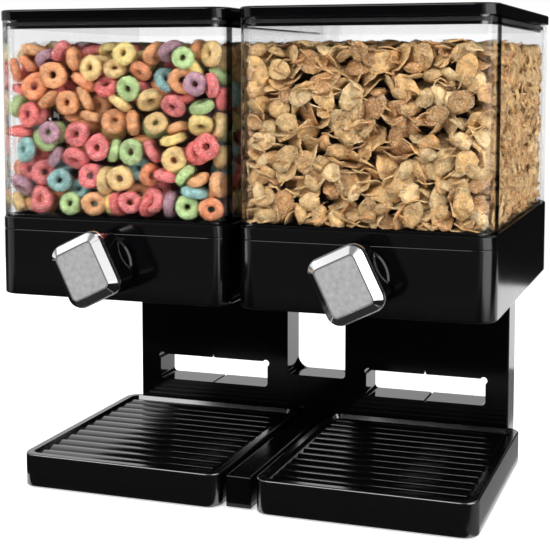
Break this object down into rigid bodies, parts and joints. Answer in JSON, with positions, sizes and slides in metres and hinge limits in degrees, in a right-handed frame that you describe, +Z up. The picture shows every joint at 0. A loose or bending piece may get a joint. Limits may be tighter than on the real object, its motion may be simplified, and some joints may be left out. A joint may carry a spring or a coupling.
{
  "type": "twin gravity dry food dispenser",
  "caption": "Twin countertop gravity dispenser: clear lidded canisters over black housings with turning chrome knobs, on a stand with ribbed drip trays.",
  "frame": {"origin": "on the counter, below the middle of the whole object's box", "axes": "+X to the right as seen from the front, +Y from the knobs to the back, +Z up"},
  "size_m": [0.318, 0.2554, 0.309],
  "materials": {
    "black_plastic": "glossy black moulded plastic",
    "inner_plastic": "satin black moulded plastic",
    "clear_plastic": "clear polished plastic",
    "knob_chrome": "bright plated",
    "knob_face_metal": "satin",
    "wheel_rubber": "soft matte silicone",
    "seal_rubber": "soft matte silicone",
    "foot_rubber": "matte",
    "shaft_steel": "brushed",
    "screw_steel": "zinc plated"
  },
  "bodies": {
    "base": {"stand_shell": "black_plastic", "stand_back": "black_plastic", "base_bar": "black_plastic", "stand_feet": "foot_rubber", "housing_screws": "screw_steel", "stand_screws": "screw_steel", "bar_screws": "screw_steel", "trough_screws": "screw_steel", "housing_left": "black_plastic", "wheel_trough_left": "inner_plastic", "hub_bush_left": "black_plastic", "hub_nut_left": "inner_plastic", "rear_bush_left": "inner_plastic", "housing_right": "black_plastic", "wheel_trough_right": "inner_plastic", "hub_bush_right": "black_plastic", "hub_nut_right": "inner_plastic", "rear_bush_right": "inner_plastic"},
    "hopper_left": {"canister_left": "clear_plastic", "collar_left": "black_plastic", "funnel_left": "inner_plastic"},
    "cover_left": {"lid_left": "black_plastic", "lid_plug_left": "black_plastic", "lid_seal_left": "seal_rubber"},
    "dosing_wheel_left": {"paddle_wheel_left": "wheel_rubber", "drive_shaft_left": "shaft_steel", "shaft_clip_left": "screw_steel"},
    "turn_knob_left": {"knob_left": "knob_chrome", "knob_face_left": "knob_face_metal"},
    "drip_tray_left": {"tray_left": "black_plastic", "tray_feet_left": "foot_rubber"},
    "hopper_right": {"canister_right": "clear_plastic", "collar_right": "black_plastic", "funnel_right": "inner_plastic"},
    "cover_right": {"lid_right": "black_plastic", "lid_plug_right": "black_plastic", "lid_seal_right": "seal_rubber"},
    "dosing_wheel_right": {"paddle_wheel_right": "wheel_rubber", "drive_shaft_right": "shaft_steel", "shaft_clip_right": "screw_steel"},
    "turn_knob_right": {"knob_right": "knob_chrome", "knob_face_right": "knob_face_metal"},
    "drip_tray_right": {"tray_right": "black_plastic", "tray_feet_right": "foot_rubber"}
  },
  "joints": [
    {"name": "hopper_lift_left", "type": "slide", "parent": "base", "child": "hopper_left", "axis": [0, 0, 1], "range_m": [0, 0.08]},
    {"name": "lid_lift_left", "type": "slide", "parent": "hopper_left", "child": "cover_left", "axis": [0, 0, 1], "range_m": [0, 0.06]},
    {"name": "wheel_turn_left", "type": "hinge", "parent": "base", "child": "dosing_wheel_left", "pos_m": [-0.081, 0, 0.152], "axis": [0, -1, 0], "continuous": true},
    {"name": "knob_pull_left", "type": "slide", "parent": "dosing_wheel_left", "child": "turn_knob_left", "axis": [0, -1, 0], "range_m": [0, 0.03]},
    {"name": "tray_slide_left", "type": "slide", "parent": "base", "child": "drip_tray_left", "axis": [0, -1, 0], "range_m": [0, 0.18]},
    {"name": "hopper_lift_right", "type": "slide", "parent": "base", "child": "hopper_right", "axis": [0, 0, 1], "range_m": [0, 0.08]},
    {"name": "lid_lift_right", "type": "slide", "parent": "hopper_right", "child": "cover_right", "axis": [0, 0, 1], "range_m": [0, 0.06]},
    {"name": "wheel_turn_right", "type": "hinge", "parent": "base", "child": "dosing_wheel_right", "pos_m": [0.081, 0, 0.152], "axis": [0, -1, 0], "continuous": true},
    {"name": "knob_pull_right", "type": "slide", "parent": "dosing_wheel_right", "child": "turn_knob_right", "axis": [0, -1, 0], "range_m": [0, 0.03]},
    {"name": "tray_slide_right", "type": "slide", "parent": "base", "child": "drip_tray_right", "axis": [0, -1, 0], "range_m": [0, 0.18]}
  ]
}
